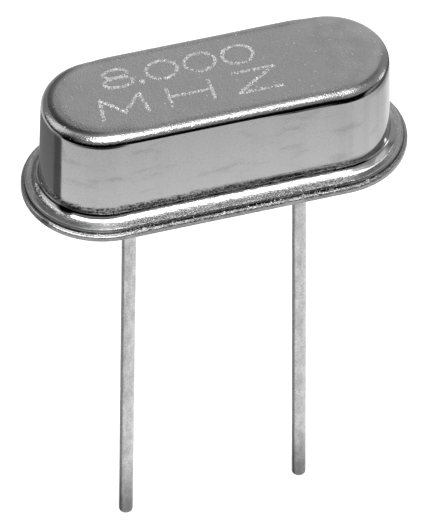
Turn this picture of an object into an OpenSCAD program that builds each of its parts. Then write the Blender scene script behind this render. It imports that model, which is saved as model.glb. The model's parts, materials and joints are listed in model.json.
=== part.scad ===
// Two-lead quartz crystal unit in a low-profile welded metal can.
// Origin: centre of the base's underside, which seats on the board. +X runs along the can, +Z up through it.

/* [Base] */
// Length of the base plate over its round ends
base_l = 10.92; // [9:0.01:14]
// Width of the base plate, and the diameter of its round ends
base_w = 4.50; // [3.7:0.01:6]
// Thickness of the base plate's rim
rim_t = 0.20; // [0.12:0.01:0.4]
// Rounding along the rim's upper edge
rim_round = 0.05; // [0.02:0.01:0.1]
// Height of the raised platform that carries the seals
platform_h = 0.90; // [0.5:0.01:1.3]
// Clearance between the platform and the can's wall
platform_gap = 0.08; // [0.03:0.01:0.2]

/* [Can] */
// Overall height of the can above the board
can_h = 3.24; // [2.5:0.01:5]
// Sheet thickness of the can
can_t = 0.20; // [0.12:0.01:0.24]
// Distance from the base's edge to the can's wall, at the wall's top
wall_inset = 0.56; // [0.5:0.01:0.9]
// Draft angle of the wall, wider at its foot
wall_draft = 1.5; // [0.5:0.1:3]
// Outer radius of the rounded top edge
top_round = 0.27; // [0.26:0.01:0.6]
// Radius of the cove where the wall turns out into the flange
foot_round = 0.24; // [0.15:0.01:0.24]
// Thickness of the can's welding flange
flange_t = 0.14; // [0.08:0.01:0.2]
// Distance from the base's edge to the flange's edge
flange_inset = 0.11; // [0.05:0.01:0.14]

/* [Leads] */
// Distance between the two leads where they leave the base
lead_pitch = 4.88; // [4:0.01:5.9]
// Diameter of the lead wire
lead_d = 0.40; // [0.3:0.01:0.5]
// Length of each lead below the base
lead_l = 13.30; // [3:0.05:20]
// Outward splay of each lead, in degrees
lead_splay = 0.8; // [0.6:0.1:3]
// Rounding of the lead's cut end
lead_tip_round = 0.05; // [0.01:0.01:0.1]
// Diameter of the flattened head inside the can
head_d = 0.80; // [0.6:0.01:1]
// Thickness of that head
head_t = 0.12; // [0.06:0.01:0.2]
// Bare wire between the seal and the head
head_lift = 0.20; // [0.1:0.01:0.4]

/* [Glass seals] */
// Diameter of each glass bead
seal_d = 1.20; // [0.9:0.01:1.5]
// How far the glass sits above the base's underside
seal_recess = 0.04; // [0.01:0.01:0.1]

/* [Quartz and its mounting] */
// Thickness of the quartz blank
blank_t = 0.21; // [0.05:0.01:0.4]
// Room between each end of the blank and the can
blank_end_room = 0.70; // [0.5:0.01:1]
// Room between each side of the blank and the can
blank_side_room = 0.54; // [0.4:0.01:0.8]
// Thickness allowed for each metal film
film_t = 0.02; // [0.01:0.01:0.05]
// Length of the working electrode
electrode_l = 4.00; // [2:0.1:4.5]
// Bare margin between the electrode and the blank's sides
electrode_margin = 0.25; // [0.1:0.01:0.4]
// Width of the strip that leads the film to the blank's end
track_w = 0.90; // [0.85:0.01:1.2]
// Thickness of the clip's spring strip
clip_t = 0.10; // [0.05:0.01:0.15]
// Width of the clip
clip_w = 1.10; // [0.8:0.01:1.2]
// How far the clip lifts the blank above the lead's head
clip_rise = 0.35; // [0.2:0.01:0.5]
// Length of the clip's foot, welded to the lead's head
clip_foot = 0.60; // [0.4:0.01:0.8]
// Length of blank that rests on each clip
clip_land = 0.80; // [0.5:0.01:1]
// Gap between the blank's end and the clip's stop
stop_gap = 0.15; // [0.05:0.01:0.2]
// Height of the clip's stop above its land
stop_h = 0.34; // [0.2:0.01:0.5]
// Diameter of the conductive adhesive dot
glue_d = 0.80; // [0.5:0.01:0.8]
// Height of the dot above the blank
glue_over = 0.10; // [0.05:0.01:0.2]

/* [Hidden] */
$fn = 96;
EPS = 0.01;                    // overrun of a cutting shape
LEFT = -1;
RIGHT = 1;

// Outline: every ring of the case runs round the same core line, straight_l long
straight_l = base_l - base_w;
rim_s = base_w / 2;

// Can wall, in section: s is the distance from the core line, z the height
wall_top_z = can_h - top_round;
wall_top_s = rim_s - wall_inset;
flange_z = rim_t + flange_t;
flange_s = rim_s - flange_inset;
foot_z = flange_z + foot_round;
foot_s = wall_s(foot_z);
top_centre_s = wall_top_s - top_round / cos(wall_draft);
foot_centre_s = foot_s + foot_round / cos(wall_draft);
cavity_top_z = can_h - can_t;
cavity_round = top_round - can_t;

platform_s = wall_s(platform_h) - can_t / cos(wall_draft) - platform_gap;
cavity_s = wall_top_s - can_t;

// Leads
lead_r = lead_d / 2;
bend_z = -0.10;                // the wire leaves the glass straight, then bends
head_top_z = platform_h + head_lift + head_t;
leg_l = (lead_l + bend_z) / cos(lead_splay);

// Mounting, all stacked up from the lead's head
land_z = head_top_z + clip_rise + clip_t;
blank_z = land_z + film_t;
blank_top_z = blank_z + blank_t;
blank_l = straight_l + 2 * (cavity_s - blank_end_room);
blank_w = 2 * (cavity_s - blank_side_room);
electrode_w = blank_w - 2 * electrode_margin;
foot_start_x = lead_pitch / 2 - clip_foot / 2;
foot_end_x = lead_pitch / 2 + clip_foot / 2;
land_x = max(blank_l / 2 - clip_land, foot_end_x + clip_t);
stop_x = blank_l / 2 + stop_gap;

// Distance from the core line to the can wall's outer face at height z
function wall_s(z) = wall_top_s + (wall_top_z - z) * tan(wall_draft);

// Carries a section round the outline: two half turns joined by two straight runs
module round_outline() {
    for (side = [LEFT, RIGHT]) {
        translate([side * straight_l / 2, 0, 0])
            rotate([0, 0, -side * 90])
                rotate_extrude(angle = 180) children();
        mirror([0, side == LEFT ? 1 : 0, 0])
            rotate([90, 0, 90])
                linear_extrude(height = straight_l, center = true) children();
    }
}

// Section of the can's outer form, filled in to the core line
module can_outer_section() {
    difference() {
        union() {
            polygon([
                [0, rim_t],
                [flange_s, rim_t],
                [flange_s, flange_z],
                [foot_centre_s, flange_z],
                [foot_centre_s - foot_round * cos(wall_draft), foot_z - foot_round * sin(wall_draft)],
                [top_centre_s + top_round * cos(wall_draft), wall_top_z + top_round * sin(wall_draft)],
                [top_centre_s, can_h],
                [0, can_h]
            ]);
            translate([top_centre_s, wall_top_z]) circle(r = top_round);
        }
        translate([foot_centre_s, foot_z]) circle(r = foot_round);
    }
}

// Section of the space inside the can, one sheet thickness in from its outer form
module can_cavity_section() {
    polygon([
        [0, foot_z],
        [wall_s(foot_z) - can_t / cos(wall_draft), foot_z],
        [wall_s(wall_top_z) - can_t / cos(wall_draft), wall_top_z],
        [top_centre_s, cavity_top_z],
        [0, cavity_top_z]
    ]);
    translate([top_centre_s, wall_top_z]) circle(r = cavity_round);
    difference() {
        translate([0, rim_t - EPS]) square([foot_centre_s, foot_z - rim_t + EPS]);
        translate([foot_centre_s, foot_z]) circle(r = foot_round + can_t);
    }
}

// Drawn cap: flat top, rounded edge, slightly tapered wall, cove and welding flange in one sheet
module can() {
    color("silver")
        round_outline()
            difference() {
                can_outer_section();
                can_cavity_section();
            }
}

// Pressed plate with a rim, a raised platform inside the can and two holes for the seals
module base() {
    color("darkgray")
        difference() {
            round_outline() {
                square([rim_s - rim_round, rim_t]);
                square([rim_s, rim_t - rim_round]);
                translate([rim_s - rim_round, rim_t - rim_round]) circle(r = rim_round);
                square([platform_s, platform_h]);
            }
            for (side = [LEFT, RIGHT])
                translate([side * lead_pitch / 2, 0, -EPS])
                    cylinder(h = platform_h + 2 * EPS, d = seal_d);
        }
}

// Glass bead round the lead, recessed a little below
module glass_seal(side) {
    color("darkslategray")
        translate([side * lead_pitch / 2, 0, seal_recess])
            difference() {
                cylinder(h = platform_h - seal_recess, d = seal_d);
                translate([0, 0, -EPS]) cylinder(h = platform_h, d = lead_d);
            }
}

// Half section of the free leg: its axis stands at zero, and it runs on a little above the bend
module leg_section() {
    difference() {
        translate([0, -leg_l]) square([lead_r, leg_l + lead_r]);
        translate([lead_r - lead_tip_round, -leg_l]) square(lead_tip_round);
    }
    translate([lead_r - lead_tip_round, lead_tip_round - leg_l]) circle(r = lead_tip_round);
}

// Everything above the plane that halves the bend, or below it
module half_space(above) {
    size = 2 * lead_d;
    rotate([0, -lead_splay / 2, 0])
        translate([-size / 2, -size / 2, above ? 0 : -size])
            cube(size);
}

// Round wire: flattened head in the can, straight run through the glass, then a splayed leg
module lead(side) {
    color("lightgray")
        mirror([side == LEFT ? 1 : 0, 0, 0])
            translate([lead_pitch / 2, 0, bend_z]) {
                translate([0, 0, head_top_z - head_t - bend_z]) cylinder(h = head_t, d = head_d);
                difference() {
                    translate([0, 0, -lead_r]) cylinder(h = head_top_z - head_t - bend_z + lead_r, r = lead_r);
                    half_space(above = false);
                }
                difference() {
                    rotate([0, -lead_splay, 0]) rotate_extrude() leg_section();
                    half_space(above = true);
                }
            }
}

// Spring strip bent in a step: welded flat on the lead's head, land under the blank, stop at its end
module clip(side) {
    foot_z0 = head_top_z;
    land_z0 = land_z - clip_t;
    color("gainsboro")
        mirror([side == LEFT ? 1 : 0, 0, 0])
            rotate([90, 0, 0])
                linear_extrude(height = clip_w, center = true)
                    polygon([
                        [foot_start_x, foot_z0],
                        [foot_end_x, foot_z0],
                        [land_x, land_z0],
                        [stop_x + clip_t, land_z0],
                        [stop_x + clip_t, land_z + stop_h],
                        [stop_x, land_z + stop_h],
                        [stop_x, land_z],
                        [land_x - clip_t / 2, land_z],
                        [foot_end_x - clip_t / 2, foot_z0 + clip_t],
                        [foot_start_x, foot_z0 + clip_t]
                    ]);
}

// Thin rectangular strip of quartz
module quartz_blank() {
    color("lightcyan")
        translate([-blank_l / 2, -blank_w / 2, blank_z]) cube([blank_l, blank_w, blank_t]);
}

// Film on one face of the blank, with a track out to one end
module electrode(side, z) {
    color("gold")
        translate([0, 0, z])
            linear_extrude(height = film_t) {
                square([electrode_l, electrode_w], center = true);
                translate([side == LEFT ? -blank_l / 2 : 0, -track_w / 2]) square([blank_l / 2, track_w]);
            }
}

module electrode_top() {
    electrode(LEFT, blank_top_z);
}

module electrode_bottom() {
    electrode(RIGHT, land_z);
}

// Dot of conductive adhesive that wraps the blank's end on its clip
module adhesive(side) {
    color("dimgray")
        difference() {
            translate([side * (stop_x - glue_d / 2), 0, land_z])
                cylinder(h = blank_top_z + glue_over - land_z, d = glue_d);
            quartz_blank();
            electrode_top();
            electrode_bottom();
        }
}

can();
base();
glass_seal(LEFT);  // glass_seal_left
glass_seal(RIGHT);  // glass_seal_right
lead(LEFT);  // lead_left
lead(RIGHT);  // lead_right
clip(LEFT);  // clip_left
clip(RIGHT);  // clip_right
quartz_blank();
electrode_top();
electrode_bottom();
adhesive(LEFT);  // adhesive_left
adhesive(RIGHT);  // adhesive_right
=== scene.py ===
"""Looks of the quartz crystal unit: a polished oval can welded to its base, with two tinned wire leads.

Lengths are in millimetres while a piece is built, and become metres when its mesh is made.
"""

import json
import math
import random

import bmesh
import bpy
from mathutils import Matrix, Vector, noise


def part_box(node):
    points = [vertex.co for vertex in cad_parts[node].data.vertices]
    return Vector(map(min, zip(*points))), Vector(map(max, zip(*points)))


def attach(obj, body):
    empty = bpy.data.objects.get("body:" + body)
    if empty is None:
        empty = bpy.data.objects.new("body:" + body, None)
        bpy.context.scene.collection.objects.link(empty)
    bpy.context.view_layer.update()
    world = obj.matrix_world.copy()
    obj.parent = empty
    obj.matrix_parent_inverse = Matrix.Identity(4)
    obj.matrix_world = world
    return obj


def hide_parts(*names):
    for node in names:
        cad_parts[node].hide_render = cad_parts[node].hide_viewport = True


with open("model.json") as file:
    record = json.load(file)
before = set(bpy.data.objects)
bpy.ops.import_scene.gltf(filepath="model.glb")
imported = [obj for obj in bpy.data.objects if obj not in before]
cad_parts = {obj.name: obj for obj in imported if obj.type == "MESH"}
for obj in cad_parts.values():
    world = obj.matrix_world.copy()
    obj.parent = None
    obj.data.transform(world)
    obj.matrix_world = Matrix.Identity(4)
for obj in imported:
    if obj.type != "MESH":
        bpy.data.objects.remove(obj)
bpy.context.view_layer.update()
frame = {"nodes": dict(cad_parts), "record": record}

MM = 0.001
LEFT = -1
RIGHT = 1
SIDES = {"left": LEFT, "right": RIGHT}
BODY = "root"
SEED = 8
UP = Vector((0, 0, 1))
SAME = 1e-6                      # lengths that differ by less are taken as equal
MERGE = 1e-5                     # vertices closer than this become one


def box_mm(node):
    """Lowest and highest corner of a CAD node, in millimetres."""
    low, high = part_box(node)
    return low / MM, high / MM


# ---- Sizes: from the frame where it has them, then from the part's source, then the looks' own ----

base_high = box_mm("base")[1]
can_low, can_high = box_mm("can")
seal_low, seal_high = box_mm("glass_seal_right")
lead_low, lead_high = box_mm("lead_right")
lead_mount = next(m for m in frame["record"]["mounts"] if m["name"] == "lead_right")

rim_s = base_high.y
core_l = 2 * (base_high.x - rim_s)
platform_h = base_high.z
can_h = can_high.z
rim_t = can_low.z
flange_s = can_high.y
seal_x = (seal_low.x + seal_high.x) / 2
seal_r = (seal_high.x - seal_low.x) / 2
seal_z = seal_low.z
head_top_z = lead_high.z
head_r = lead_high.y
floor_z = lead_low.z
lead_r = lead_mount["dims"]["r_mm"]
splay = math.asin(lead_mount["axis"][0])

can_t = 0.20
wall_inset = 0.56
wall_draft = 1.5
top_round = 0.27
foot_round = 0.24
flange_t = 0.14
platform_round = 0.05
platform_gap = 0.08
bend_z = -0.10
head_t = 0.12
tip_round = 0.05

hold = 0.012                     # distance of a flat's first ring from its rounded edge
worn_round = 0.07                # the rim's upper corner after welding
flange_round = 0.045
edge_round = 0.02                # softened corners of cut edges
coat_wave = 0.0035               # unevenness of the leads' tin coat

draft = math.radians(wall_draft)
wall_top_z = can_h - top_round
wall_top_s = rim_s - wall_inset
flange_z = rim_t + flange_t
foot_z = flange_z + foot_round


def wall_s(z):
    """Distance from the core line to the can wall's outer face at height z."""
    return wall_top_s + (wall_top_z - z) * math.tan(draft)


top_centre_s = wall_top_s - top_round / math.cos(draft)
foot_centre_s = wall_s(foot_z) + foot_round / math.cos(draft)
platform_s = wall_s(platform_h) - can_t / math.cos(draft) - platform_gap
leg_l = (bend_z - floor_z) / math.cos(splay) - (lead_r - tip_round) * math.tan(splay)


# ---- Section and mesh helpers ----------------------------------------------------------------

def arc(centre, radius, start, end, steps):
    """Points on an arc of a section, with angles in degrees from the outward direction."""
    points = []
    for i in range(steps + 1):
        angle = math.radians(start + (end - start) * i / steps)
        points.append((centre[0] + radius * math.cos(angle), centre[1] + radius * math.sin(angle)))
    return points


def line(start, end, steps):
    """Points on a straight run of a section, with one more close to each end to keep it flat."""
    length = math.dist(start, end)
    margin = min(hold / length, 0.25)
    shares = [0, margin, *(i / steps for i in range(1, steps)), 1 - margin, 1]
    return [(start[0] + (end[0] - start[0]) * t, start[1] + (end[1] - start[1]) * t) for t in shares]


def joined(*runs):
    """One section from several runs, without the points that two runs share."""
    points = []
    for run in runs:
        for point in run:
            if not points or math.dist(points[-1], point) > SAME:
                points.append(point)
    return points


def outline(round_steps, straight_steps):
    """Stations once round the case: x on the core line, then the outward direction in x and y."""
    stations = []
    for side in (RIGHT, LEFT):
        for i in range(round_steps):
            angle = math.pi * (i / round_steps - 0.5)
            stations.append((side * core_l / 2, side * math.cos(angle), side * math.sin(angle)))
        for i in range(straight_steps):
            stations.append((side * core_l * (0.5 - i / straight_steps), 0, side))
    return stations


def sweep(mesh, section, stations):
    """Carries an open section round the outline, and returns the rings of vertices at its two ends."""
    ribs = []
    for core_x, out_x, out_y in stations:
        ribs.append([mesh.verts.new((core_x + s * out_x, s * out_y, z)) for s, z in section])
    for rib, following in zip(ribs, ribs[1:] + ribs[:1]):
        for i in range(len(section) - 1):
            mesh.faces.new((rib[i], following[i], following[i + 1], rib[i + 1]))
    return [rib[0] for rib in ribs], [rib[-1] for rib in ribs]


def ring(mesh, centre, radius, sides, across=Vector((1, 0, 0)), along=Vector((0, 1, 0))):
    """A ring of vertices, in the plane of the directions across and along."""
    verts = []
    for i in range(sides):
        angle = 2 * math.pi * i / sides
        verts.append(mesh.verts.new(centre + radius * (math.cos(angle) * across + math.sin(angle) * along)))
    return verts


def skin(mesh, rings, closed=False):
    """Joins each ring to the next with quads, and the last to the first if closed."""
    followers = rings[1:] + (rings[:1] if closed else [])
    for one, other in zip(rings, followers):
        for i in range(len(one)):
            k = (i + 1) % len(one)
            mesh.faces.new((one[i], one[k], other[k], other[i]))


def loop_edges(mesh, verts):
    """The edges of a closed loop of vertices, made where they are missing."""
    edges = []
    for a, b in zip(verts, verts[1:] + verts[:1]):
        edges.append(mesh.edges.get((a, b)) or mesh.edges.new((a, b)))
    return edges


def from_core(point):
    """The x of the core line's nearest point, and the distance from there in the plan."""
    core_x = min(max(point.x, -core_l / 2), core_l / 2)
    return core_x, math.hypot(point.x - core_x, point.y)


def press(mesh, relief):
    """Moves every vertex along its normal, as far as relief(vertex) says."""
    mesh.normal_update()
    shifts = [vert.normal * relief(vert) for vert in mesh.verts]
    for vert, shift in zip(mesh.verts, shifts):
        vert.co += shift


def link_new(name, data):
    """A new object in the scene."""
    made = bpy.data.objects.new(name, data)
    bpy.context.scene.collection.objects.link(made)
    return made


def make_piece(name, mesh, material, replaced=(), sharp_angle=40):
    """Turns a bmesh in millimetres into a smooth piece in metres that rides on the body."""
    bmesh.ops.remove_doubles(mesh, verts=mesh.verts, dist=MERGE)
    bmesh.ops.dissolve_degenerate(mesh, edges=mesh.edges, dist=SAME)
    bmesh.ops.recalc_face_normals(mesh, faces=mesh.faces)
    bmesh.ops.scale(mesh, vec=(MM, MM, MM), verts=mesh.verts)
    data = bpy.data.meshes.new(name)
    mesh.to_mesh(data)
    mesh.free()
    data.shade_smooth()
    data.set_sharp_from_angle(angle=math.radians(sharp_angle))
    data.materials.append(material)
    piece = link_new(name, data)
    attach(piece, BODY)
    if replaced:
        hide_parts(*replaced)
    return piece


def smooth_step(low, high, value):
    """0 below low, 1 above high, and a smooth rise between."""
    t = min(max((value - low) / (high - low), 0), 1)
    return t * t * (3 - 2 * t)


def hump(value, middle, half):
    """Rises from 0 to 1 in the middle and falls to 0 again, smoothly."""
    share = min(abs(value - middle) / half, 1)
    return math.cos(math.pi / 2 * share) ** 2


def ripple(point, scale, octaves=2):
    """Smooth noise from about -1 to 1, with the scale in waves for each millimetre."""
    return noise.fractal(Vector(point) * scale, 0.8, 2.0, octaves)


# ---- Materials -------------------------------------------------------------------------------

class Graph:
    """Adds nodes to a shader's node tree. node() returns the new node, and the others its output."""

    def __init__(self, tree):
        self.tree = tree

    def feed(self, socket, value):
        """Links an output to the socket, or sets the socket to a constant."""
        if isinstance(value, bpy.types.NodeSocket):
            self.tree.links.new(value, socket)
        else:
            socket.default_value = value

    def node(self, kind, inputs=(), **settings):
        made = self.tree.nodes.new("ShaderNode" + kind)
        for key, value in settings.items():
            setattr(made, key, value)
        for key, value in dict(inputs).items():
            self.feed(made.inputs[key], value)
        return made

    def math(self, operation, a, b=0.0):
        return self.node("Math", {0: a, 1: b}, operation=operation).outputs[0]

    def plus(self, total, *others):
        for other in others:
            total = self.math("ADD", total, other)
        return total

    def minus(self, a, b):
        return self.math("SUBTRACT", a, b)

    def times(self, product, *others):
        for other in others:
            product = self.math("MULTIPLY", product, other)
        return product

    def span(self, value, low, high, to_low=0.0, to_high=1.0, smooth=True):
        """Maps low..high to to_low..to_high, held at both ends."""
        kind = "SMOOTHSTEP" if smooth else "LINEAR"
        limits = {"Value": value, "From Min": low, "From Max": high, "To Min": to_low, "To Max": to_high}
        return self.node("MapRange", limits, interpolation_type=kind).outputs["Result"]

    def fall(self, value, low, high):
        """1 below low and 0 above high."""
        return self.span(value, low, high, 1.0, 0.0)

    def band(self, value, rise, fall):
        """Rises from 0 to 1 over the first pair of values, and falls back to 0 over the second."""
        return self.times(self.span(value, *rise), self.fall(value, *fall))

    def vary(self, pattern, to_low, to_high, reach=0.2):
        """Maps a noise's values within reach of its middle to to_low..to_high."""
        return self.span(pattern, 0.5 - reach, 0.5 + reach, to_low, to_high)

    def mix(self, share, a, b):
        """a where the share is 0, and b where it is 1."""
        return self.node("Mix", {"Factor": share, "A": a, "B": b}, data_type="FLOAT").outputs[0]

    def point(self, x, y, z=0.0):
        return self.node("CombineXYZ", {0: x, 1: y, 2: z}).outputs[0]

    def stretch(self, vector, factors):
        return self.node("VectorMath", {0: vector, 1: factors}, operation="MULTIPLY").outputs[0]

    def noise(self, vector, scale, detail=2.0, rough=0.5):
        sizes = {"Vector": vector, "Scale": scale, "Detail": detail, "Roughness": rough}
        return self.node("TexNoise", sizes).outputs["Fac"]

    def grey(self, value):
        return self.node("CombineColor", {0: value, 1: value, 2: value}).outputs[0]

    def bump(self, height, distance, strength=1.0, normal=None):
        """distance is the height in millimetres that a height of 1 stands for."""
        inputs = {"Height": height, "Distance": distance * MM, "Strength": strength}
        if normal is not None:
            inputs["Normal"] = normal
        return self.node("Bump", inputs).outputs[0]

    def lean(self, normal, way, *masks):
        """Tips the normal towards way, as far as the masks let it. unit() then mends its length."""
        push = self.node("VectorMath", {0: way, "Scale": self.times(*masks)}, operation="SCALE")
        return self.node("VectorMath", {0: normal, 1: push.outputs[0]}, operation="ADD").outputs[0]

    def unit(self, vector):
        return self.node("VectorMath", {0: vector}, operation="NORMALIZE").outputs[0]


class Finish(Graph):
    """A new material. Its places are in millimetres on the object: mm, x, y, z, and s off the core line."""

    def __init__(self, name, metallic=1.0):
        self.material = bpy.data.materials.new(name)
        self.material.use_nodes = True
        super().__init__(self.material.node_tree)
        self.shader = self.tree.nodes["Principled BSDF"]
        self.shader.inputs["Metallic"].default_value = metallic
        place = self.node("TexCoord").outputs["Object"]
        self.mm = self.stretch(place, (1 / MM, 1 / MM, 1 / MM))
        self.x, self.y, self.z = self.node("SeparateXYZ", {0: self.mm}).outputs
        self.side_x = self.math("ABSOLUTE", self.x)
        past_core = self.math("MAXIMUM", self.minus(self.side_x, core_l / 2))
        squares = self.plus(self.math("POWER", past_core, 2), self.math("POWER", self.y, 2))
        self.s = self.math("SQRT", squares)

    def set(self, **sockets):
        """Sets or links the shader's inputs, named with underscores for spaces."""
        for key, value in sockets.items():
            self.feed(self.shader.inputs[key.replace("_", " ")], value)
        return self.material

    def specks(self, cells, size, share):
        """1 inside round specks: cells for each millimetre, size in cells, share of cells with one."""
        cell = self.node("TexVoronoi", {"Vector": self.mm, "Scale": cells}, feature="F1")
        near = self.fall(cell.outputs["Distance"], size * 0.6, size)
        lot = self.node("SeparateColor", {0: cell.outputs["Color"]}).outputs[0]
        return self.times(near, self.math("LESS_THAN", lot, share))


PLATE_TONE = 0.47
MIDDLE = (-1.0, 1.0)             # x over which the left half's wear gives way to the right half's
ENDS = (2.6, 3.9)                # distance to either side over which the sides give way to the ends


class NickelPlate(Finish):
    """The can's polished plate, with the places and noises that its tone, roughness and normal share."""

    def __init__(self):
        super().__init__("nickel_plate")
        self.past_flat = self.minus(self.s, top_centre_s)
        self.over_wall = self.minus(self.z, wall_top_z)
        self.over_flange = self.minus(self.z, flange_z)
        self.straight = self.fall(self.side_x, *ENDS)
        self.on_top = self.span(self.over_wall, 0, 0.12)
        self.on_flange = self.fall(self.over_flange, 0.004, 0.03)
        self.smudge = self.noise(self.stretch(self.mm, (0.7, 0.9, 1.7)), 1.7, 5, 0.62)
        self.grain = self.noise(self.mm, 27, 2)
        self.scratches = self.noise(self.stretch(self.mm, (0.9, 0.9, 22)), 1.0, 4, 0.7)
        pitted = self.noise(self.mm, 13, 4, 0.75)
        # Patchy noise, pitted on the left and scratched on the right, that breaks up the painted shade at
        # the foot and the painted highlight in the cove.
        self.patchy = self.mix(self.span(self.x, *MIDDLE, 0.0, 0.6), pitted, self.scratches)
        specks = self.plus(self.specks(4.2, 0.13, 0.4), self.specks(9.0, 0.15, 0.4))
        self.dust = self.times(specks, self.on_top)

    def clean_tone(self):
        """Smudged plate with drawing lines at the right, and painted light: lighter low on the wall and
        left on the top.
        """
        # Painted light: the wall lighter low down and darker near its top, and the top lighter on the left.
        wall_painted_light = self.span(self.z, 0.8, wall_top_z, 0.055, -0.04, smooth=False)
        top_painted_light = self.span(self.x, -4, 4, 0.065, 0.01)
        wall_smear = self.span(self.smudge, 0.54, 0.72, 0.0, -0.07)
        top_smear = self.span(self.smudge, 0.5, 0.7, 0.0, -0.015)
        lines = self.noise(self.stretch(self.mm, (2.4, 2.4, 0.08)), 1.0, 2)
        return self.plus(
            PLATE_TONE,
            self.mix(self.on_top, wall_smear, top_smear),
            self.mix(self.on_top, wall_painted_light, top_painted_light),
            self.vary(self.grain, -0.025, 0.025),
            self.times(self.vary(lines, -0.03, 0.02, 0.15), self.span(self.x, 2.2, 3.6, 0.2, 1.0)),
        )

    def add_shade_ring(self, tone):
        """A ring of painted shade on the left of the top, where the flat ends."""
        ring = self.band(self.past_flat, (-0.18, 0), (0.03, 0.07))
        ring = self.times(ring, self.on_top, self.fall(self.x, -4.0, -3.2))
        # Painted shade: the ring darkens the tone to 0.55.
        return self.times(tone, self.mix(ring, 1.0, 0.55))

    def add_foot_shade(self, tone):
        """A ragged band of painted shade along the wall's foot: blotches on the left, scratches on the
        right.
        """
        blotches = self.noise(self.stretch(self.mm, (3.5, 3.5, 8)), 1.0, 4, 0.7)
        ragged = self.mix(self.span(self.x, *MIDDLE), blotches, self.scratches)
        level = self.minus(self.over_flange, self.times(ragged, 0.30))
        foot = self.times(
            self.fall(level, foot_round - 0.02, foot_round + 0.12),
            self.span(self.over_flange, foot_round - 0.02, foot_round),
            self.span(self.x, 3.4, 4.4, 1.0, 0.2),
        )
        return self.mix(foot, tone, self.vary(self.patchy, 0.02, 0.36, 0.10))

    def add_flange(self, tone):
        """The flange's face: fine rings round the ends, and an even grain along the sides."""
        rings = self.noise(self.point(self.times(self.s, 24), self.x, self.y), 1.0, 3, 0.7)
        at_ends = self.plus(self.vary(rings, 0.38, 0.66), self.vary(self.grain, -0.14, 0.14))
        at_sides = self.vary(self.grain, 0.26, 0.52, 0.15)
        return self.mix(self.on_flange, tone, self.mix(self.straight, at_ends, at_sides))

    def add_flange_edge(self, tone):
        """The flange's heat-tinted edge: dark level lines, and one pale line."""
        lines = self.noise(self.point(self.times(self.z, 40), self.x), 1.0, 3, 0.6)
        edge = self.plus(
            self.span(self.straight, 0, 1, 0.36, 0.30),
            self.vary(lines, -0.17, 0.17, 0.15),
            self.times(self.band(self.over_flange, (-0.100, -0.085), (-0.070, -0.055)), 0.30),
        )
        return self.mix(self.fall(self.over_flange, -0.035, -0.005), tone, edge)

    def add_highlight_line(self, tone):
        """A painted highlight: a broken pale line between sides of painted shade, in the cove at the left
        end.
        """
        line = self.band(self.over_flange, (0.028, 0.042), (0.052, 0.066))
        line = self.times(line, self.span(self.patchy, 0.40, 0.52))
        cove = self.band(self.over_flange, (0.0, 0.01), (foot_round - 0.06, foot_round))
        cove = self.times(cove, self.fall(self.x, -4.75, -4.45))
        # Painted highlight on the line and painted shade beside it.
        return self.mix(cove, tone, self.times(tone, self.mix(line, 0.72, 1.30)))

    def add_shade_band(self, tone):
        """A band of painted shade under the rounding at the right end."""
        shade_band = self.band(self.over_wall, (-0.40, -0.10), (0.06, 0.16))
        shade_band = self.times(shade_band, self.span(self.x, 3.9, 4.5))
        # Painted shade: the band darkens the tone to 0.40.
        return self.times(tone, self.mix(shade_band, 1.0, 0.40))

    def tone(self):
        tone = self.clean_tone()
        tone = self.add_foot_shade(self.add_shade_ring(tone))
        tone = self.add_flange_edge(self.add_flange(tone))
        tone = self.add_shade_band(self.add_highlight_line(tone))
        return self.mix(self.dust, tone, 1.0)

    def roughness(self):
        roughness = self.mix(self.on_top, self.vary(self.smudge, 0.08, 0.12), 0.16)
        roughness = self.mix(self.on_flange, roughness, self.span(self.straight, 0, 1, 0.30, 0.15))
        return self.mix(self.dust, roughness, 0.5)

    def bumps(self):
        """Faint peel all over, grain on the top and its edge, and streaks on the flange and in the cove."""
        peel = self.noise(self.mm, 2.2, 2)
        streaks = self.noise(self.stretch(self.mm, (5, 24, 24)), 1.0, 3, 0.6)
        on_edge = self.times(
            self.band(self.past_flat, (-0.10, 0.02), (0.20, 0.25)),
            self.span(self.straight, 0, 1, 0.45, 1.0),
            self.on_top,
        )
        churned = self.times(self.on_flange, self.span(self.straight, 0, 1, 0.5, 1.0))
        in_cove = self.times(self.straight, self.fall(self.over_flange, foot_round - 0.06, foot_round))
        normal = self.bump(peel, 0.0016)
        normal = self.bump(self.grain, 0.0030, self.on_top, normal)
        normal = self.bump(self.grain, 0.0080, on_edge, normal)
        normal = self.bump(streaks, 0.028, churned, normal)
        return self.bump(streaks, 0.011, in_cove, normal)

    def normal(self):
        """The bumps, with the normal tipped in the cove's front corners, which moves their highlights."""
        forward = (-0.3, -1.0, 0.0)
        leftward = (-0.3, -0.1, 0.0)
        rightward = (0.3, -0.1, 0.0)
        at_front = self.times(self.minus(1.0, self.straight), self.fall(self.y, -1.3, -0.8))
        at_front_left = self.times(self.fall(self.x, -4.15, -3.65), self.fall(self.y, -1.40, -1.20))
        far_right = self.span(self.x, 4.0, 4.3)
        low = self.band(self.over_flange, (0.001, 0.014), (0.008, 0.085))
        low = self.times(low, self.span(self.x, *ENDS, 0.0, 0.38))
        far_low = self.times(self.band(self.over_flange, (0.001, 0.014), (0.010, 0.040)), 0.56)
        high = self.band(self.over_flange, (0.02, 0.04), (0.09, 0.15))
        normal = self.lean(self.bumps(), forward, at_front, self.mix(far_right, low, far_low))
        normal = self.lean(normal, leftward, at_front, far_right, high)
        normal = self.lean(normal, rightward, at_front_left, high)
        return self.unit(normal)


def can_finish():
    """Polished nickel plate, heat-tinted at the flange's edge, with painted light and shade on the wall,
    the top, the wall's foot and the left of the cove.
    """
    plate = NickelPlate()
    tone = plate.grey(plate.tone())
    return plate.set(Base_Color=tone, Roughness=plate.roughness(), Normal=plate.normal())


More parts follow.
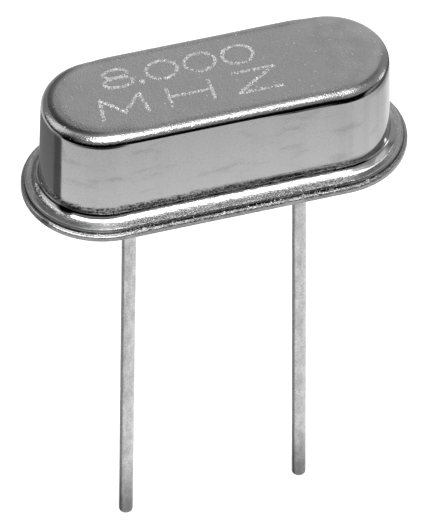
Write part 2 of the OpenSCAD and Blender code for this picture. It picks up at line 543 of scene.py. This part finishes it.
def base_finish():
    """Rolled steel plate: satin, with slanted lines on its cut edge, scored and tinted by the weld, and
    with painted shade in the crevice at the can's flange.

    The normal is tipped on the rim's front left corner, which moves its highlight.
    """
    finish = Finish("steel_plate")
    past_flange = finish.minus(finish.s, flange_s)
    over_rim = finish.minus(finish.z, rim_t)
    mottle = finish.noise(finish.mm, 3.0, 4, 0.6)
    slant = finish.plus(finish.x, finish.times(finish.z, 1.5))
    lines = finish.noise(finish.point(slant, finish.y), 13, 3, 0.6)
    tone = finish.plus(finish.vary(mottle, 0.44, 0.37), finish.vary(lines, -0.05, 0.05))
    across = finish.times(finish.minus(finish.s, finish.z), 28)
    scoring = finish.noise(finish.point(across, finish.x), 1.0, 4, 0.7)
    weld_tint_and_shade = finish.plus(
        finish.span(finish.side_x, 2.9, 3.9, 0.19, 0.38),
        finish.vary(scoring, -0.10, 0.14, 0.15),
    )
    # Painted shade: darker still in the crevice right against the can's flange.
    weld_tint_and_shade = finish.times(weld_tint_and_shade, finish.span(past_flange, 0.01, 0.04, 0.4, 1.0))
    near_weld = finish.times(finish.fall(past_flange, 0.03, 0.06), finish.span(over_rim, -0.04, -0.01))
    tone = finish.mix(near_weld, tone, weld_tint_and_shade)
    tone = finish.times(tone, finish.span(finish.z, 0.01, 0.05, 0.55, 1.0))
    roughness = finish.vary(mottle, 0.20, 0.30)

    on_corner = finish.span(over_rim, -worn_round - 0.02, -worn_round + 0.02)
    spattered = finish.times(on_corner, finish.span(finish.x, -3.5, -2.9, 0.15, 1.0))
    spatter = finish.noise(finish.stretch(finish.mm, (7, 20, 20)), 1.0, 3, 0.6)
    normal = finish.bump(lines, 0.006)
    normal = finish.bump(spatter, 0.030, spattered, normal)
    rightward = (0.3, -0.1, 0.0)
    at_front_left = finish.times(finish.fall(finish.x, -4.3, -3.7), finish.fall(finish.y, -1.3, -0.8))
    rounded = finish.span(finish.s, rim_s - worn_round, rim_s - worn_round + 0.01)
    normal = finish.unit(finish.lean(normal, rightward, at_front_left, on_corner, rounded))
    return finish.set(Base_Color=finish.grey(tone), Roughness=roughness, Normal=normal)


def wire_finish():
    """Tinned wire: soft mottle, faint drawing lines, and painted shade towards the cut end."""
    finish = Finish("tinned_wire")
    mottle = finish.noise(finish.stretch(finish.mm, (5.0, 5.0, 2.2)), 1.0, 4, 0.6)
    drawing = finish.noise(finish.stretch(finish.mm, (24.0, 24.0, 3.0)), 1.0, 3)
    pits = finish.noise(finish.mm, 16, 3, 0.7)
    tone = finish.plus(finish.vary(mottle, 0.80, 0.70), finish.vary(pits, -0.12, 0.10, 0.15))
    # Painted shade: darker over the last 2.6 mm towards the cut end.
    tone = finish.times(tone, finish.span(finish.z, floor_z, floor_z + 2.6, 0.34, 1.0))
    roughness = finish.vary(mottle, 0.26, 0.38)
    normal = finish.bump(drawing, 0.004, 1.0, finish.bump(mottle, 0.004))
    return finish.set(Base_Color=finish.grey(tone), Roughness=roughness, Normal=normal)


def burr_finish():
    """Metal thrown up by the marking laser and the weld: bright and rough."""
    finish = Finish("bright_burr", metallic=0.55)
    mottle = finish.noise(finish.mm, 30, 2)
    tone = finish.vary(mottle, 1.0, 0.8)
    roughness = finish.vary(mottle, 0.15, 0.40)
    return finish.set(Base_Color=finish.grey(tone), Roughness=roughness, Normal=finish.bump(mottle, 0.004))


def glass_finish():
    """Dark sealing glass with a few bubbles."""
    finish = Finish("sealing_glass", metallic=0.0)
    cloud = finish.noise(finish.mm, 4, 3)
    bubbles = finish.specks(7, 0.2, 0.3)
    tone = finish.mix(bubbles, finish.vary(cloud, 0.012, 0.03), 0.12)
    roughness = finish.vary(cloud, 0.04, 0.10)
    return finish.set(Base_Color=finish.grey(tone), Roughness=roughness, Normal=finish.bump(cloud, 0.004))


def strip_finish():
    """Rolled spring strip."""
    finish = Finish("spring_strip")
    rolling = finish.noise(finish.stretch(finish.mm, (1.5, 30.0, 1.5)), 1.0, 3)
    tone = finish.vary(rolling, 0.58, 0.46)
    roughness = finish.vary(rolling, 0.22, 0.36)
    return finish.set(Base_Color=finish.grey(tone), Roughness=roughness, Normal=finish.bump(rolling, 0.003))


def quartz_finish():
    """Lapped quartz: clear, with a fine matte bloom."""
    finish = Finish("lapped_quartz", metallic=0.0)
    bloom = finish.noise(finish.mm, 18, 3)
    tone = finish.vary(bloom, 0.93, 0.8)
    roughness = finish.vary(bloom, 0.12, 0.28)
    finish.set(IOR=1.54, Transmission_Weight=0.8)
    return finish.set(Base_Color=finish.grey(tone), Roughness=roughness, Normal=finish.bump(bloom, 0.001))


def film_finish():
    """Evaporated silver film."""
    finish = Finish("silver_film")
    cloud = finish.noise(finish.mm, 2.5, 4)
    tone = finish.vary(cloud, 0.88, 0.76)
    roughness = finish.vary(cloud, 0.14, 0.26)
    return finish.set(Base_Color=finish.grey(tone), Roughness=roughness, Normal=finish.bump(cloud, 0.002))


def adhesive_finish():
    """Cured silver-filled adhesive: dull and grainy."""
    finish = Finish("silver_adhesive", metallic=0.35)
    grain = finish.noise(finish.mm, 22, 4, 0.7)
    tone = finish.vary(grain, 0.24, 0.44)
    roughness = finish.vary(grain, 0.5, 0.75)
    return finish.set(Base_Color=finish.grey(tone), Roughness=roughness, Normal=finish.bump(grain, 0.02))


# ---- Can -------------------------------------------------------------------------------------

def can_section():
    """The drawn sheet, from the middle of its top round to the middle of its ceiling."""
    top_centre = (top_centre_s, wall_top_z)
    foot_centre = (foot_centre_s, foot_z)
    inner_foot_round = foot_round + can_t
    margin = (top_centre_s - 0.3, can_h)
    upper_wall = (wall_s(wall_top_z - 0.2), wall_top_z - 0.2)
    mouth = math.degrees(math.asin((foot_z - rim_t) / inner_foot_round))
    top_edge = arc(top_centre, top_round, 90, wall_draft, 18)
    cove = arc(foot_centre, foot_round, 180 + wall_draft, 270, 18)
    upper_corner = arc((flange_s - flange_round, flange_z - flange_round), flange_round, 90, 0, 6)
    lower_corner = arc((flange_s - edge_round, rim_t + edge_round), edge_round, 0, -90, 4)
    inner_cove = arc(foot_centre, inner_foot_round, 180 + mouth, 180 + wall_draft, 7)
    inner_edge = arc(top_centre, top_round - can_t, wall_draft, 90, 5)
    return joined(
        line((0, can_h), margin, 8),
        line(margin, top_edge[0], 12),
        top_edge,
        line(top_edge[-1], upper_wall, 6),
        line(upper_wall, cove[0], 24),
        cove,
        line(cove[-1], upper_corner[0], 3),
        upper_corner,
        line(upper_corner[-1], lower_corner[0], 2),
        lower_corner,
        line(lower_corner[-1], inner_cove[0], 2),
        inner_cove,
        line(inner_cove[-1], inner_edge[0], 4),
        inner_edge,
        line(inner_edge[-1], (0, can_h - can_t), 3),
    )


# How far the can's sheet leaves its true form
end_press = 0.018                # inwards along the top edge, at both ends
corner_press = 0.021             # and more at the front left
end_dip = 0.015                  # of the top's margin and the wall, at both ends
side_dip = 0.001                 # and along the sides
side_bulge = 0.007               # outwards along the right half of the sides
cove_slump = 0.015               # outwards in the foot cove
left_slump = 0.004               # and at the left end
sheet_wave = 0.0006
flange_churn = 0.008

edge_crest = 0.18                # how far past the flat the edge's easing is full
edge_reach = 0.29                # and over what distance it grows


def past_flat(point, s):
    """Distance along the sheet from the edge of the flat top, below 0 on the flat."""
    if point.z < wall_top_z:
        return top_round * (math.pi / 2 - draft) + wall_top_z - point.z
    if s > top_centre_s:
        return top_round * math.atan2(s - top_centre_s, point.z - wall_top_z)
    return s - top_centre_s


def edge_relief(point, s, at_end):
    """How far the sheet stands out along its top edge and down the wall.

    Where it is pressed in, the right half regains its form under the edge, and the left half at the foot.
    """
    past = past_flat(point, s)
    over_edge = hump(min(past, edge_crest), edge_crest, edge_reach)
    under_edge = smooth_step(0.34, 0.50, past)
    at_front_left = smooth_step(core_l / 2 - 0.5, core_l / 2 + 0.1, -point.x)
    at_front_left *= smooth_step(0.60, 1.0, -point.y / max(s, 1))
    pressed = (end_press * at_end + corner_press * at_front_left) * over_edge
    pressed += (side_dip + end_dip * at_end) * smooth_step(-0.36, 0.20, past)
    if point.x > 0:
        recovered = smooth_step(0.20, 0.53, past)
    else:
        recovered = 0.12 * under_edge + 0.88 * max(past - 0.20, 0) / 2.6
    bulge = side_bulge * over_edge + side_bulge * under_edge
    bulge *= smooth_step(0.4, 1.8, point.x) * (1 - at_end) * (1 - max(past - 0.50, 0) / 2.4)
    return bulge - pressed * (1 - recovered)


def sheet_relief(point):
    """How far the sheet stands out: eased edge, slumped cove, faint waves, and churned flange."""
    s = from_core(point)[1]
    at_end = smooth_step(core_l / 2 - 0.7, core_l / 2 + 0.1, abs(point.x))
    relief = sheet_wave * ripple(point, 0.9)
    if point.z > foot_z:
        relief += edge_relief(point, s, at_end)
    if flange_z < point.z < foot_z and s < foot_centre_s:
        slope = math.degrees(math.atan2(foot_centre_s - s, foot_z - point.z))    # 0 at the flange
        to_left = smooth_step(core_l / 2 - 0.4, core_l / 2 + 0.5, -point.x)
        relief += (cove_slump + (left_slump - cove_slump) * to_left) * hump(slope, 34, 34)
    on_flange = 1 - smooth_step(flange_z - 0.01, flange_z + 0.05, point.z)
    return relief + flange_churn * ripple(point, 9, 3) * on_flange * (1 - at_end)


def can_relief(vert):
    """The sheet's relief along a vertex's normal. Its inner face goes with its outer one."""
    core_x = from_core(vert.co)[0]
    outwards = Vector((vert.co.x - core_x, vert.co.y, 0)).normalized() + UP
    return sheet_relief(vert.co) * (1 if vert.normal.dot(outwards) > -0.5 else -1)


def build_can(material):
    """The drawn sheet, swept round the outline and worn a little out of true."""
    mesh = bmesh.new()
    sweep(mesh, can_section(), outline(64, 150))
    bmesh.ops.remove_doubles(mesh, verts=mesh.verts, dist=MERGE)
    bmesh.ops.recalc_face_normals(mesh, faces=mesh.faces)
    press(mesh, can_relief)
    return make_piece("can_shell", mesh, material, ["can"])


# ---- Base and seals --------------------------------------------------------------------------

def base_section():
    """The pressed plate's edge, from its underside to the top of its platform."""
    under_corner = arc((rim_s - edge_round, edge_round), edge_round, -90, 0, 4)
    rim_corner = arc((rim_s - worn_round, rim_t - worn_round), worn_round, 0, 90, 12)
    platform_centre = (platform_s - platform_round, platform_h - platform_round)
    platform_corner = arc(platform_centre, platform_round, 0, 90, 5)
    return joined(
        under_corner,
        line(under_corner[-1], rim_corner[0], 3),
        rim_corner,
        line(rim_corner[-1], (platform_s, rim_t), 4),
        line((platform_s, rim_t), platform_corner[0], 3),
        platform_corner,
    )


corner_flat = 0.017              # how deep the rim's worn corner is flattened at the front left


def base_relief(vert):
    """How far the rim's worn corner stands out from its arc: it is flattened at the front left."""
    point = vert.co
    s = from_core(point)[1]
    tilt = math.degrees(math.atan2(s - rim_s + worn_round, point.z - rim_t + worn_round))
    on_corner = rim_t - worn_round < point.z < rim_t + 0.001 and tilt < 90
    at_front_left = smooth_step(core_l / 2 - 0.9, core_l / 2 + 0.1, -point.x)
    at_front_left *= smooth_step(0.9, 1.5, -point.y)
    return -corner_flat * at_front_left * hump(tilt, 45, 44) if on_corner else 0.0


def build_base(material):
    """The plate with its worn rim and its two holes for the seals."""
    mesh = bmesh.new()
    under, top = sweep(mesh, base_section(), outline(64, 90))
    press(mesh, base_relief)
    under_edges = loop_edges(mesh, under)
    top_edges = loop_edges(mesh, top)
    for side in SIDES.values():
        profile = [(seal_r + edge_round, 0), (seal_r, edge_round)]
        profile += [(seal_r, platform_h - edge_round), (seal_r + edge_round, platform_h)]
        hole = [ring(mesh, Vector((side * seal_x, 0, z)), r, 64) for r, z in profile]
        skin(mesh, hole)
        under_edges += loop_edges(mesh, hole[0])
        top_edges += loop_edges(mesh, hole[-1])
    for edges in (under_edges, top_edges):
        bmesh.ops.triangle_fill(mesh, edges=edges, use_beauty=True)
    return make_piece("base_plate", mesh, material, ["base"])


def build_seal(name, side, material):
    """Glass bead, drawn up a little on the wire and on the plate below and above."""
    mesh = bmesh.new()
    steps = 10
    climb = 0.05
    profile = []
    for level, way in ((seal_z, -1), (platform_h, 1)):
        run = []
        for i in range(steps + 1):
            share = i / steps
            lift = climb * (abs(2 * share - 1) ** 3)
            run.append((lead_r + (seal_r - lead_r) * share, level - way * climb * 0.5 + way * lift))
        profile += run if way < 0 else run[::-1]
    rings = [ring(mesh, Vector((side * seal_x, 0, z)), r, 64) for r, z in profile]
    skin(mesh, rings, closed=True)
    return make_piece(name, mesh, material, ["glass_" + name])


# ---- Leads -----------------------------------------------------------------------------------

def lead_profile():
    """Distance down the wire and radius, from the middle of the head to the middle of the cut end."""
    end = head_top_z - bend_z + leg_l
    corner = 0.03
    neck = 0.02
    ring_step = 0.07
    profile = [(0, 0), (0, head_r - corner), (corner, head_r), (head_t - corner, head_r)]
    profile += [(head_t, head_r - corner), (head_t, lead_r + neck / 2), (head_t + neck, lead_r)]
    steps = round((end - tip_round - head_t) / ring_step)
    start = head_t + ring_step
    for i in range(steps):
        profile.append((start + (end - tip_round - start) * i / steps, lead_r))
    for i in range(7):
        angle = math.radians(15 * i)
        drop = tip_round * (1 - math.cos(angle))
        profile.append((end - tip_round + tip_round * math.sin(angle), lead_r - drop))
    profile.append((end, 0))
    return profile


def build_lead(name, side, material):
    """Tinned wire with its slight bend under the glass, and a coat that is a little uneven."""
    mesh = bmesh.new()
    bend = head_top_z - bend_z
    apart = Vector((0, 0, 9 * side))             # so that the two coats differ
    rings = []
    for distance, radius in lead_profile():
        leg = max(distance - bend, 0)
        tilt = splay * smooth_step(bend - 0.05, bend + 0.05, distance)
        centre = Vector((side * (seal_x + leg * math.sin(splay)), 0, 0))
        centre.z = head_top_z - min(distance, bend) - leg * math.cos(splay)
        across = Vector((math.cos(tilt), 0, side * math.sin(tilt)))
        verts = ring(mesh, centre, radius, 40, across)
        if abs(radius - lead_r) < SAME and distance > bend:
            for vert in verts:
                out = (vert.co - centre).normalized()
                vert.co += out * coat_wave * ripple(vert.co + apart, 1.6)
        rings.append(verts)
    skin(mesh, rings)
    return make_piece(name, mesh, material, [name.replace("wire", "lead")])


# ---- Marking and weld beads ------------------------------------------------------------------

def add_bead(mesh, centre, normal, radius, height, dice):
    """A small irregular closed dome that stands on a surface, its foot sunk in a little."""
    across = normal.orthogonal().normalized()
    along = normal.cross(across)
    sides = 6
    foot = ring(mesh, centre - normal * height * 0.4, radius, sides, across, along)
    shoulder = ring(mesh, centre + normal * height * 0.65, radius * 0.7, sides, across, along)
    for vert in shoulder:
        vert.co += Vector(dice.uniform(-0.22, 0.22) * radius for _ in range(3))
    lean = across * dice.uniform(-0.3, 0.3) + along * dice.uniform(-0.3, 0.3)
    tip = mesh.verts.new(centre + normal * height + lean * radius)
    skin(mesh, [foot, shoulder])
    for i in range(sides):
        mesh.faces.new((shoulder[i], shoulder[(i + 1) % sides], tip))
    mesh.faces.new(foot[::-1])


def oval(centre_x, centre_y, half_x, half_y, steps=48):
    """An ellipse, as a closed stroke."""
    points = []
    for i in range(steps + 1):
        angle = 2 * math.pi * i / steps
        points.append((centre_x + half_x * math.cos(angle), centre_y + half_y * math.sin(angle)))
    return points


# Strokes of each character in a cell one wide and one high
GLYPHS = {
    "8": [oval(0.5, 0.27, 0.46, 0.27), oval(0.5, 0.77, 0.38, 0.23)],
    "0": [oval(0.5, 0.5, 0.48, 0.5)],
    ".": [oval(0.5, 0.06, 0.05, 0.06, 8)],
    "M": [[(0, 0), (0.08, 1), (0.5, 0.2), (0.92, 1), (1, 0)]],
    "H": [[(0.04, 0), (0.04, 1)], [(0.96, 0), (0.96, 1)], [(0.04, 0.5), (0.96, 0.5)]],
    "Z": [[(0.04, 1), (0.96, 1), (0.02, 0), (1, 0)]],
}

# Each row of the marking: its characters with the x of their middles, then y, width and height
MARK_ROWS = [
    ({"8": [-2.60], ".": [-1.96], "0": [-1.34, -0.26, 0.82]}, 0.64, 0.90, 0.70),
    ({"M": [-2.74], "H": [-0.84], "Z": [1.04]}, -0.46, 1.30, 0.80),
]


def mark_strokes():
    """The strokes of the marking, as lists of points on the can's top."""
    for row, middle_y, width, height in MARK_ROWS:
        for character, middles in row.items():
            for middle_x in middles:
                corner = Vector((middle_x - width / 2, middle_y - height / 2))
                for stroke in GLYPHS[character]:
                    yield [(corner.x + x * width, corner.y + y * height) for x, y in stroke]


def along(stroke, step):
    """Points at about an even step along a stroke, with the direction there."""
    for start, end in zip(stroke, stroke[1:]):
        run = Vector(end) - Vector(start)
        count = max(1, round(run.length / step))
        for i in range(count):
            yield Vector(start) + run * (i / count), run.normalized()


BURR_STEP = 0.028
BURRS_AT_STEP = (0, 3, 4, 6)                     # one of these counts, by chance
BURR_STEEPNESS = (0.18, 0.25, 0.35, 0.9, 1.3)    # one of these, as height over radius


def build_marking(material):
    """Rated frequency in strokes of tiny burrs, as a marking laser leaves them."""
    mesh = bmesh.new()
    dice = random.Random(SEED)
    for stroke in mark_strokes():
        for point, way in along(stroke, BURR_STEP):
            for _ in range(dice.choice(BURRS_AT_STEP)):
                off = Vector((-way.y, way.x)) * dice.uniform(-0.045, 0.045)
                off += way * dice.uniform(-0.02, 0.02)
                place = Vector((point.x + off.x, point.y + off.y, can_h))
                radius = dice.uniform(0.011, 0.026)
                add_bead(mesh, place, UP, radius, radius * dice.choice(BURR_STEEPNESS), dice)
    return make_piece("laser_marking", mesh, material, sharp_angle=20)


def on_outline(share, s):
    """A point at distance s from the core line, at a share of the way round, and the way out there."""
    turn = math.pi * s
    total = 2 * (turn + core_l)
    at = (share % 1) * total
    side = RIGHT
    if at > total / 2:
        at -= total / 2
        side = LEFT
    if at < turn:
        angle = at / s - math.pi / 2
        out = Vector((side * math.cos(angle), side * math.sin(angle), 0))
        return Vector((side * core_l / 2, 0, 0)) + out * s, out
    out = Vector((0, side, 0))
    return Vector((side * (core_l / 2 - (at - turn)), 0, 0)) + out * s, out


SEAM_BEADS = 900
FLANGE_BEADS = 700
COVE_BEADS = 80


def bead_seam(mesh, dice):
    """A broken line of beads in the seam, along the sides."""
    for _ in range(SEAM_BEADS):
        place, out = on_outline(dice.random(), flange_s + dice.uniform(0.0, 0.05))
        if abs(place.x) > core_l / 2 + dice.uniform(0, 1.2) or ripple(place, 2.5) < dice.uniform(-0.5, 0.3):
            continue
        place.z = rim_t + 0.004
        radius = dice.uniform(0.006, 0.022)
        add_bead(mesh, place, (UP + out * 0.7).normalized(), radius, radius * dice.uniform(0.4, 0.9), dice)


def bead_flange(mesh, dice):
    """Spatter on the flange, along the sides."""
    for _ in range(FLANGE_BEADS):
        place, out = on_outline(dice.random(), dice.uniform(foot_centre_s - 0.10, flange_s - 0.02))
        if abs(place.x) > core_l / 2 + dice.uniform(-0.4, 0.6):
            continue
        place.z = flange_z
        radius = dice.uniform(0.007, 0.018)
        add_bead(mesh, place, UP, radius, radius * dice.uniform(0.3, 0.7), dice)


def bead_cove(mesh, dice):
    """A line of larger beads in the cove, round the front left."""
    for _ in range(COVE_BEADS):
        angle = math.radians(dice.uniform(-95, -28))
        slope = math.radians(dice.uniform(15, 42))
        out = Vector((math.sin(angle), -math.cos(angle), 0))
        place = Vector((-core_l / 2, 0, foot_z)) + out * foot_centre_s
        normal = out * math.sin(slope) + UP * math.cos(slope)
        radius = dice.uniform(0.012, 0.032)
        add_bead(mesh, place - normal * foot_round, normal, radius, radius * dice.uniform(0.3, 0.8), dice)


def build_weld_beads(material):
    """Beads that the weld threw out."""
    mesh = bmesh.new()
    dice = random.Random(SEED + 1)
    for bead in (bead_seam, bead_flange, bead_cove):
        bead(mesh, dice)
    return make_piece("weld_beads", mesh, material, sharp_angle=20)


# ---- Floor, light and camera -----------------------------------------------------------------

def seen_floor_finish():
    """Plain pale floor, clear when it is seen from below."""
    finish = Finish("pale_floor", metallic=0.0)
    finish.set(Base_Color=(0.95, 0.95, 0.95, 1), Roughness=0.9)
    finish.set(Emission_Color=(1, 1, 1, 1), Emission_Strength=0.6)
    clear = finish.node("BsdfTransparent").outputs[0]
    below = finish.node("NewGeometry").outputs["Backfacing"]
    both = finish.node("MixShader", {0: below, 1: finish.shader.outputs[0], 2: clear}).outputs[0]
    finish.tree.links.new(both, finish.tree.nodes["Material Output"].inputs["Surface"])
    return finish.material


FLOOR_HALF = 2000                # half of the floor's width


def build_floor():
    """A floor at the leads' tips, which only the camera sees."""
    mesh = bmesh.new()
    bmesh.ops.create_grid(mesh, x_segments=1, y_segments=1, size=FLOOR_HALF * MM)
    data = bpy.data.meshes.new("floor")
    mesh.to_mesh(data)
    mesh.free()
    data.materials.append(seen_floor_finish())
    floor = link_new("floor", data)
    floor.location.z = floor_z * MM
    floor.visible_glossy = False
    floor.visible_diffuse = False
    floor.visible_shadow = False


ROOM_LIGHT = 0.45                # where the studio has no card

# The studio by direction, each card laid over those before it: middle and half width of its azimuth
# (0 at the front, positive towards +X), lowest and highest elevation, soft edges, brightness
STUDIO = {
    "ceiling": (0, 200, 72, 100, 5, 6, 0.60),
    "rear_wall": (178, 62, -14, 50, 10, 8, 0.66),
    "left_rear": (-158, 32, -4, 48, 4, 6, 0.25),
    "left_rear_low": (-146, 34, -38, -18, 8, 5, 0.85),
    "rear_gap": (-167.5, 28.5, 46.5, 65, 3, 2, 0.03),
    "right_wall": (95, 38, -38, 56, 10, 8, 0.40),
    "right_dark": (102, 28, 36, 72, 10, 6, 0.22),
    "right_gap": (45, 24, -8, 8, 10, 6, 0.04),
    "right_shelf": (66, 12, -36, -14, 6, 4, 0.50),
    "right_slot": (84, 26, -38, -31, 8, 2, 0.12),
    "right_sill": (128, 16, -41, -22, 5, 2, 0.2),
    "right_lamp": (89, 6, -6, 9, 2, 3, 3.6),
    "front_room": (-22, 36, 16, 44, 6, 8, 0.24),
    "front_dark": (-6, 58, -40, 6, 6, 8, 0.0),
    "front_shelf": (20, 26, 22, 44, 6, 6, 0.34),
    "left_flag": (-72, 18, -40, 64, 4, 6, 0.0),
    "left_window": (-112, 17, 12, 60, 3, 4, 1.15),
    "left_gap": (-112, 25, -16, 6, 6, 5, 0.02),
    "softbox": (0, 30, 45, 79, 4, 4, 5.0),
    "softbox_notch": (-58, 26, 36, 74, 4, 5, 0.26),
    "softbox_spill": (46, 12, 46, 74, 8, 6, 0.9),
    "floor_lit": (40, 135, -100, -36.5, 2, 1.5, 0.92),
    "floor_right": (145, 28, -100, -38, 12, 2, 1.0),
    "floor_far": (-141, 46, -100, -38, 2, 2, 0.22),
    "floor_gap": (-105, 9, -100, -38, 3, 2, 0.11),
}


def build_world():
    """Studio round the part: soft walls, dark gaps and light cards. The camera itself sees plain pale."""
    world = bpy.data.worlds.new("studio")
    world.use_nodes = True
    bpy.context.scene.world = world
    graph = Graph(world.node_tree)
    backdrop = world.node_tree.nodes["Background"]
    x, y, z = graph.node("SeparateXYZ", {0: graph.node("TexCoord").outputs["Generated"]}).outputs
    elevation = graph.math("DEGREES", graph.math("ARCSINE", z))
    azimuth = graph.math("DEGREES", graph.math("ARCTAN2", x, graph.times(y, -1.0)))
    light = ROOM_LIGHT
    for middle, half, low, high, side_edge, level_edge, brightness in STUDIO.values():
        off_middle = graph.minus(azimuth, middle)
        turn = graph.node("Math", {0: off_middle, 1: 180.0, 2: -180.0}, operation="WRAP").outputs[0]
        across = graph.fall(graph.math("ABSOLUTE", turn), half - side_edge, half + side_edge)
        above = graph.span(elevation, low - level_edge, low + level_edge)
        below = graph.fall(elevation, high - level_edge, high + level_edge)
        light = graph.mix(graph.times(across, above, below), light, brightness)
    seen = graph.node("LightPath").outputs["Is Camera Ray"]
    light = graph.mix(seen, light, 1.0)
    world.node_tree.links.new(graph.grey(light), backdrop.inputs["Color"])


# Angles in degrees, with the azimuth from the front and positive towards +X
VIEW_AZIMUTH = -16.907
VIEW_ELEVATION = 45.052
VIEW_ROLL = 0.387
VIEW_DISTANCE = 166.67
VIEW_RIGHT = -0.021              # where the view's centre lies from the origin, in its own plane
VIEW_UP = -2.804
SENSOR_SIZE = 36                 # along the image's long side
FOCAL_LENGTH = 414.06


def build_camera():
    """The camera, at the photograph's viewing angle."""
    azimuth, elevation, roll = (math.radians(a) for a in (VIEW_AZIMUTH, VIEW_ELEVATION, VIEW_ROLL))
    back = Vector((
        math.sin(azimuth) * math.cos(elevation),
        -math.cos(azimuth) * math.cos(elevation),
        math.sin(elevation),
    ))
    level = Vector((math.cos(azimuth), math.sin(azimuth), 0))
    rise = back.cross(level)
    right = math.cos(roll) * level + math.sin(roll) * rise
    up = math.cos(roll) * rise - math.sin(roll) * level
    data = bpy.data.cameras.new("camera")
    data.sensor_width = SENSOR_SIZE
    data.lens = FOCAL_LENGTH
    data.clip_start = 10 * MM
    data.clip_end = 10
    camera = link_new("camera", data)
    place = (back * VIEW_DISTANCE + right * VIEW_RIGHT + up * VIEW_UP) * MM
    camera.matrix_world = Matrix.Translation(place) @ Matrix((right, up, back)).transposed().to_4x4()
    bpy.context.scene.camera = camera


# ---- The part --------------------------------------------------------------------------------

def dress_inside():
    """Gives the CAD pieces inside the can their finishes."""
    finishes = {
        "clip_": strip_finish(),
        "quartz_": quartz_finish(),
        "electrode_": film_finish(),
        "adhesive_": adhesive_finish(),
    }
    for node, piece in frame["nodes"].items():
        for prefix, material in finishes.items():
            if node.startswith(prefix):
                piece.data.materials.clear()
                piece.data.materials.append(material)


build_camera()
build_floor()
build_world()
bpy.context.scene.view_settings.view_transform = "Standard"

build_can(can_finish())
build_base(base_finish())
glass = glass_finish()
wire = wire_finish()
burr = burr_finish()
for word, side in SIDES.items():
    build_seal("seal_" + word, side, glass)
    build_lead("wire_" + word, side, wire)
build_marking(burr)
build_weld_beads(burr)
dress_inside()
